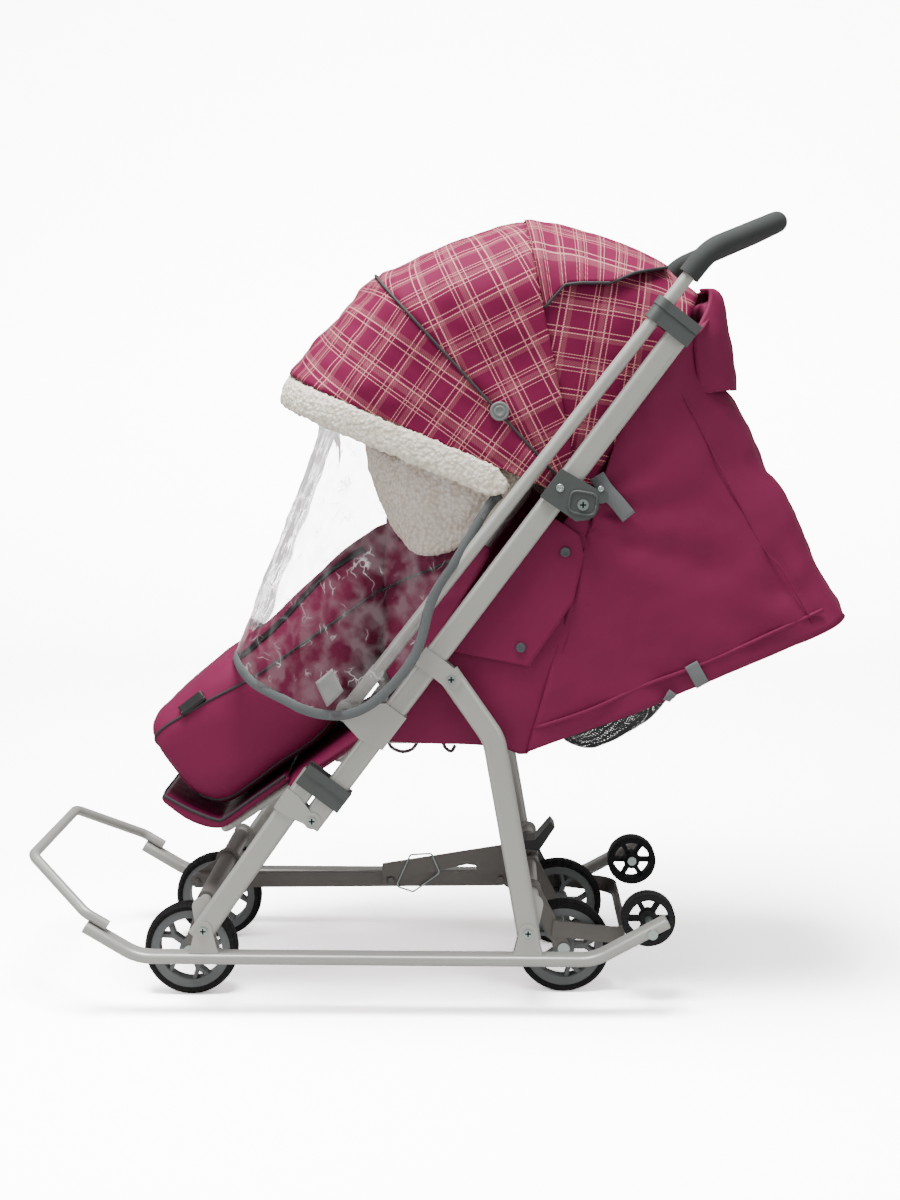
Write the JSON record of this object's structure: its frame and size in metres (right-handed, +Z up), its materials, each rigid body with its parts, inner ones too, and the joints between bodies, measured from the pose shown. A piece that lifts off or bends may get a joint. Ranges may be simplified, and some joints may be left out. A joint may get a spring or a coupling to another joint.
{
  "type": "sled stroller",
  "caption": "Folding sled stroller with runners, swing-up wheels, a plaid hood, a foot muff, a reclining seat and a flip-over handle",
  "frame": {"origin": "on the floor under the middle of the bounding box, wheels down", "axes": "+X to the rear along the runners, +Y to the child's left, +Z up"},
  "size_m": [1.0881, 0.4532, 1.0407],
  "materials": {
    "frame_paint": "light grey powder coat",
    "zinc_steel": "zinc plated",
    "grey_plastic": "moulded, fine grain",
    "black_plastic": "moulded",
    "rim_plastic": "moulded",
    "tyre_rubber": "matt",
    "grip_foam": "matt foam",
    "magenta_cloth": "woven plaid and plain cloth",
    "vinyl": "glossy coated cloth",
    "fleece": "curly fleece",
    "clear_film": "clear",
    "net": "open net"
  },
  "bodies": {
    "sled": {"runner_left": "frame_paint", "runner_right": "frame_paint", "front_arch": "frame_paint", "runner_brackets": "frame_paint", "bracket_bolts": "zinc_steel", "front_cross_tube": "frame_paint", "rear_cross_tube": "frame_paint", "transport_bolts": "zinc_steel"},
    "transport_left": {"transport_wheel_left": "black_plastic"},
    "transport_right": {"transport_wheel_right": "black_plastic"},
    "front_carriage": {"front_arms": "frame_paint", "front_lever": "frame_paint", "front_axle": "zinc_steel"},
    "rear_carriage": {"rear_arms": "frame_paint", "rear_lever": "frame_paint", "rear_axle": "zinc_steel", "step_bar": "frame_paint"},
    "rod": {"connecting_rod": "frame_paint"},
    "pedal": {"pedal_lever": "frame_paint", "pedal_pad": "black_plastic", "latch_wire": "zinc_steel"},
    "front_left_wheel": {"front_rim_left": "rim_plastic", "front_tyre_left": "tyre_rubber"},
    "front_right_wheel": {"front_rim_right": "rim_plastic", "front_tyre_right": "tyre_rubber"},
    "rear_left_wheel": {"rear_rim_left": "rim_plastic", "rear_tyre_left": "tyre_rubber"},
    "rear_right_wheel": {"rear_rim_right": "rim_plastic", "rear_tyre_right": "tyre_rubber"},
    "front_legs": {"front_leg_left": "frame_paint", "front_leg_right": "frame_paint", "leg_sleeves": "frame_paint"},
    "rear_legs": {"rear_leg_left": "frame_paint", "rear_leg_right": "frame_paint"},
    "upper_frame": {"main_tube_left": "frame_paint", "main_tube_right": "frame_paint", "gussets": "frame_paint", "strap_brackets": "frame_paint", "frame_bolts": "zinc_steel", "hood_hinges": "grey_plastic", "hood_bolts": "zinc_steel", "side_panels": "magenta_cloth", "hood_rear": "magenta_cloth", "rain_cover": "clear_film", "back_shell": "magenta_cloth", "mesh_pocket": "net"},
    "seat": {"seat_frame": "frame_paint", "seat_pad": "magenta_cloth"},
    "locks": {"lock_sleeves": "grey_plastic"},
    "handle": {"handle_bar": "frame_paint", "handle_grip": "grip_foam"},
    "clips": {"handle_clips": "grey_plastic"},
    "backrest": {"backrest_frame": "frame_paint", "backrest_pad": "magenta_cloth"},
    "footrest": {"footrest_frame": "frame_paint", "footrest_board": "vinyl", "foot_muff": "magenta_cloth"},
    "hood_canopy": {"hood_front": "magenta_cloth", "sherpa_trim": "fleece"},
    "hood_mid": {"hood_middle": "magenta_cloth"}
  },
  "joints": [
    {"name": "fold", "type": "hinge", "parent": "sled", "child": "front_legs", "pos_m": [-0.295, 0, 0.113], "axis": [0, -1, 0], "range_deg": [0, 75], "deforming": ["side_panels"]},
    {"name": "fold_main", "type": "hinge", "parent": "front_legs", "child": "upper_frame", "pos_m": [-0.152, 0, 0.26], "axis": [0, -1, 0], "range_deg": [-112.14, 0]},
    {"name": "fold_rear", "type": "hinge", "parent": "sled", "child": "rear_legs", "pos_m": [0.127, 0, 0.113], "axis": [0, -1, 0], "range_deg": [0, 34.91]},
    {"name": "seat_level", "type": "hinge", "parent": "upper_frame", "child": "seat", "pos_m": [-0.06654, 0, 0.37465], "axis": [0, -1, 0], "range_deg": [0, 33.76]},
    {"name": "handle_flip", "type": "hinge", "parent": "upper_frame", "child": "handle", "pos_m": [-0.10782, 0, 0.40293], "axis": [0, -1, 0], "range_deg": [0, 77]},
    {"name": "clip_slide", "type": "slide", "parent": "handle", "child": "clips", "axis": [0.6157, 0, 0.788], "range_m": [0, 0.03]},
    {"name": "lock_slide", "type": "slide", "parent": "upper_frame", "child": "locks", "axis": [0.5976, 0, 0.8018], "range_m": [0, 0.03]},
    {"name": "hood_fold", "type": "hinge", "parent": "upper_frame", "child": "hood_canopy", "pos_m": [0.19279, 0, 0.66902], "axis": [0, 1, 0], "range_deg": [0, 52], "deforming": ["rain_cover"]},
    {"name": "hood_follow", "type": "hinge", "parent": "upper_frame", "child": "hood_mid", "pos_m": [0.19279, 0, 0.66902], "axis": [0, 1, 0], "range_deg": [0, 26.01]},
    {"name": "recline", "type": "hinge", "parent": "seat", "child": "backrest", "pos_m": [0.132, 0, 0.36], "axis": [0, -1, 0], "range_deg": [0, 45], "deforming": ["back_shell", "mesh_pocket"]},
    {"name": "footrest_lift", "type": "hinge", "parent": "seat", "child": "footrest", "pos_m": [-0.085, 0, 0.36], "axis": [0, 1, 0], "range_deg": [0, 20]},
    {"name": "wheel_lift", "type": "hinge", "parent": "sled", "child": "rear_carriage", "pos_m": [0.134, 0, 0.146], "axis": [0, -1, 0], "range_deg": [0, 110]},
    {"name": "front_wheel_lift", "type": "hinge", "parent": "sled", "child": "front_carriage", "pos_m": [-0.299, 0, 0.14], "axis": [0, -1, 0], "range_deg": [0, 110.01]},
    {"name": "rod_turn", "type": "hinge", "parent": "rear_carriage", "child": "rod", "pos_m": [0.092, 0, 0.118], "axis": [0, -1, 0], "range_deg": [-110.01, 0]},
    {"name": "pedal_press", "type": "hinge", "parent": "sled", "child": "pedal", "pos_m": [0.134, 0, 0.146], "axis": [0, 1, 0], "range_deg": [0, 8], "stiffness_Nm_per_rad": 1},
    {"name": "front_left_spin", "type": "hinge", "parent": "front_carriage", "child": "front_left_wheel", "pos_m": [-0.325, 0, 0.0635], "axis": [0, 1, 0], "continuous": true},
    {"name": "front_right_spin", "type": "hinge", "parent": "front_carriage", "child": "front_right_wheel", "pos_m": [-0.325, 0, 0.0635], "axis": [0, 1, 0], "continuous": true},
    {"name": "rear_left_spin", "type": "hinge", "parent": "rear_carriage", "child": "rear_left_wheel", "pos_m": [0.177, 0, 0.0635], "axis": [0, 1, 0], "continuous": true},
    {"name": "rear_right_spin", "type": "hinge", "parent": "rear_carriage", "child": "rear_right_wheel", "pos_m": [0.177, 0, 0.0635], "axis": [0, 1, 0], "continuous": true},
    {"name": "transport_left_spin", "type": "hinge", "parent": "sled", "child": "transport_left", "pos_m": [0.28744, 0, 0.11447], "axis": [0, 1, 0], "continuous": true},
    {"name": "transport_right_spin", "type": "hinge", "parent": "sled", "child": "transport_right", "pos_m": [0.28744, 0, 0.11447], "axis": [0, 1, 0], "continuous": true}
  ],
  "couplings": [
    {"joint": "fold_main", "follows": "fold", "ratio": -1.4951},
    {"joint": "fold_rear", "follows": "fold", "ratio": 0.46537},
    {"joint": "seat_level", "follows": "fold", "ratio": 0.45},
    {"joint": "hood_follow", "follows": "hood_fold", "ratio": 0.5},
    {"joint": "front_wheel_lift", "follows": "wheel_lift", "ratio": 1},
    {"joint": "rod_turn", "follows": "wheel_lift", "ratio": -1}
  ]
}
